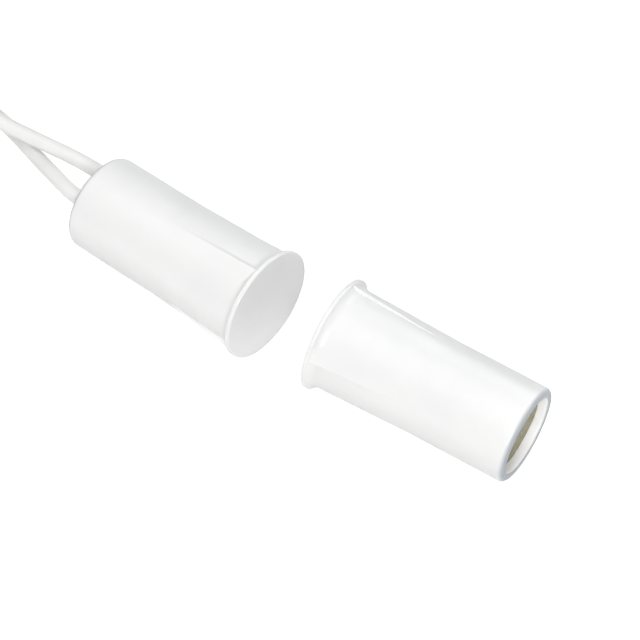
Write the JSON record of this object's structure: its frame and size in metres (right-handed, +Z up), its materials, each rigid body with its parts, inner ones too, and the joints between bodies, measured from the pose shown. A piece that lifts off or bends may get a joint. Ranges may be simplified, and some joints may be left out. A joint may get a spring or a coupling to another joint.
{
  "type": "recessed magnetic door contact",
  "caption": "Recessed magnetic door contact: a wired reed switch in a ribbed press-fit barrel, with a matching ribbed barrel that holds its magnet.",
  "frame": {"origin": "centre of the two housings' common box at the table top they lie on", "axes": "+X along the switch barrel, from its leads towards its front face and the magnet; +Z up"},
  "size_m": [0.0804, 0.0214, 0.0106],
  "materials": {
    "housing_white": "satin white moulded ABS",
    "reed_glass": "clear, slightly green, fire-sealed at both ends",
    "reed_alloy": "bright nickel-iron reed with plated contact faces",
    "tinned_wire": "bright tinned wire",
    "shrink_sleeve": "satin black heat-shrink tubing",
    "ptfe_sleeve": "translucent PTFE sleeving",
    "splice_brass": "crimped splice barrel",
    "potting_white": "cast off-white epoxy",
    "lead_white": "soft extruded PVC insulation",
    "tie_nylon": "natural nylon",
    "magnet_alloy": "ground alnico rod",
    "foam_pad": "adhesive foam",
    "potting_amber": "amber epoxy, glossy, dished at the wall"
  },
  "bodies": {
    "switch_half": {"switch_housing": "housing_white", "reed_glass": "reed_glass", "reed_terminal_front": "tinned_wire", "reed_terminal_rear": "tinned_wire", "reed_sleeve": "shrink_sleeve", "return_sleeve": "ptfe_sleeve", "splice_a": "splice_brass", "splice_b": "splice_brass", "conductor_a": "tinned_wire", "conductor_b": "tinned_wire", "switch_potting": "potting_white", "lead_a": "lead_white", "lead_b": "lead_white", "lead_a_coil": "lead_white", "lead_b_coil": "lead_white", "lead_a_end": "tinned_wire", "lead_b_end": "tinned_wire", "lead_tie": "tie_nylon"},
    "blade_front": {"reed_blade_front": "reed_alloy"},
    "blade_rear": {"reed_blade_rear": "reed_alloy"},
    "magnet_half": {"magnet_housing": "housing_white", "magnet": "magnet_alloy", "magnet_pad": "foam_pad", "magnet_potting": "potting_amber"}
  },
  "joints": [
    {"name": "magnet_travel", "type": "slide", "parent": "switch_half", "child": "magnet_half", "axis": [0.9917, 0.1288, 0], "range_m": [-0.0045, 0.03]},
    {"name": "blade_front_flex", "type": "hinge", "parent": "switch_half", "child": "blade_front", "pos_m": [-0.00842, -0.00282, 0.00585], "axis": [0, 1, 0], "range_deg": [0, 1], "stiffness_Nm_per_rad": 0.04},
    {"name": "blade_rear_flex", "type": "hinge", "parent": "switch_half", "child": "blade_rear", "pos_m": [-0.01396, -0.00282, 0.00589], "axis": [0, 1, 0], "range_deg": [0, 1], "stiffness_Nm_per_rad": 0.04}
  ]
}
